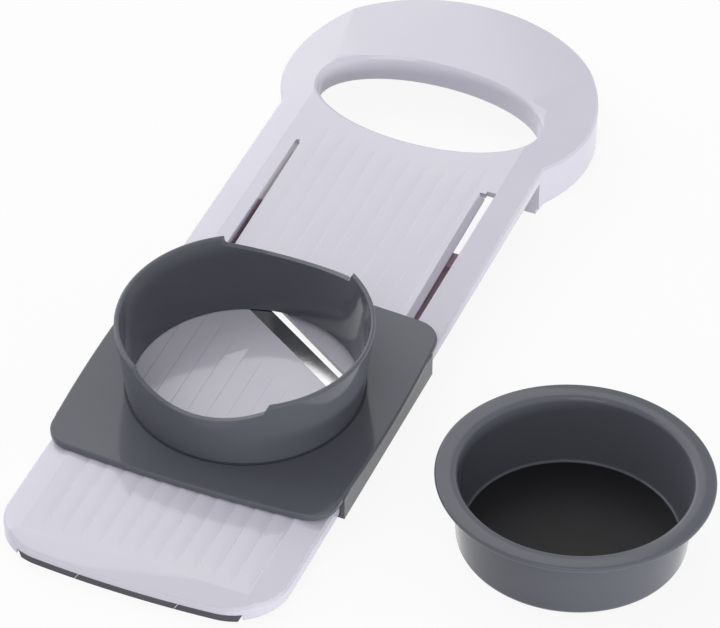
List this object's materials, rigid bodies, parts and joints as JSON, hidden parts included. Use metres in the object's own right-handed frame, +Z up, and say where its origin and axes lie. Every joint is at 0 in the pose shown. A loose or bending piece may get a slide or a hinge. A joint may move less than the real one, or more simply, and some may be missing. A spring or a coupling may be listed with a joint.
{
  "type": "hand slicer with food carriage and pusher cup",
  "caption": "Hand slicer: oval-headed plastic deck with a diagonal blade, adjustable infeed ramp, sliding carriage with a round hopper, and a loose pusher cup.",
  "frame": {"origin": "on the table plane, at the middle of the front grip strip's underside", "axes": "+X to the right across the deck, +Y from the front edge to the handle along the table, +Z up"},
  "size_m": [0.2727, 0.3907, 0.054],
  "materials": {
    "white_plastic": "glossy lavender-white moulded plastic",
    "grey_plastic": "smooth dark grey moulded plastic, half gloss",
    "grip_rubber": "matt grey rubber",
    "blade_steel": "ground and polished blade steel",
    "fastener_steel": "plain steel"
  },
  "bodies": {
    "slicer": {"slicer_body": "white_plastic", "slicing_blade": "blade_steel", "blade_rivets": "fastener_steel", "front_grip_strip": "grip_rubber"},
    "infeed": {"infeed_ramp": "white_plastic"},
    "dial": {"thickness_knob": "grey_plastic", "thickness_cam": "grey_plastic", "dial_screw": "fastener_steel"},
    "carriage": {"slide_carriage": "grey_plastic"},
    "pusher": {"pusher_cup": "grey_plastic"}
  },
  "joints": [
    {"name": "dial_turn", "type": "hinge", "parent": "slicer", "child": "dial", "pos_m": [0, 0.22616, 0.01248], "axis": [0, -0.0551, 0.9985], "range_deg": [-90, 120]},
    {"name": "ramp_flex", "type": "hinge", "parent": "slicer", "child": "infeed", "pos_m": [0, 0.26167, 0.0222], "axis": [-1, 0, 0], "range_deg": [-0.97, 1.3]},
    {"name": "carriage_slide", "type": "slide", "parent": "slicer", "child": "carriage", "axis": [0, 0.9985, 0.0551], "range_m": [-0.045, 0.1]},
    {"name": "pusher_lift", "type": "slide", "parent": "slicer", "child": "pusher", "axis": [0, 0, 1], "range_m": [0, 0.08]}
  ],
  "couplings": [
    {"joint": "ramp_flex", "follows": "dial_turn", "ratio": 0.010795}
  ]
}
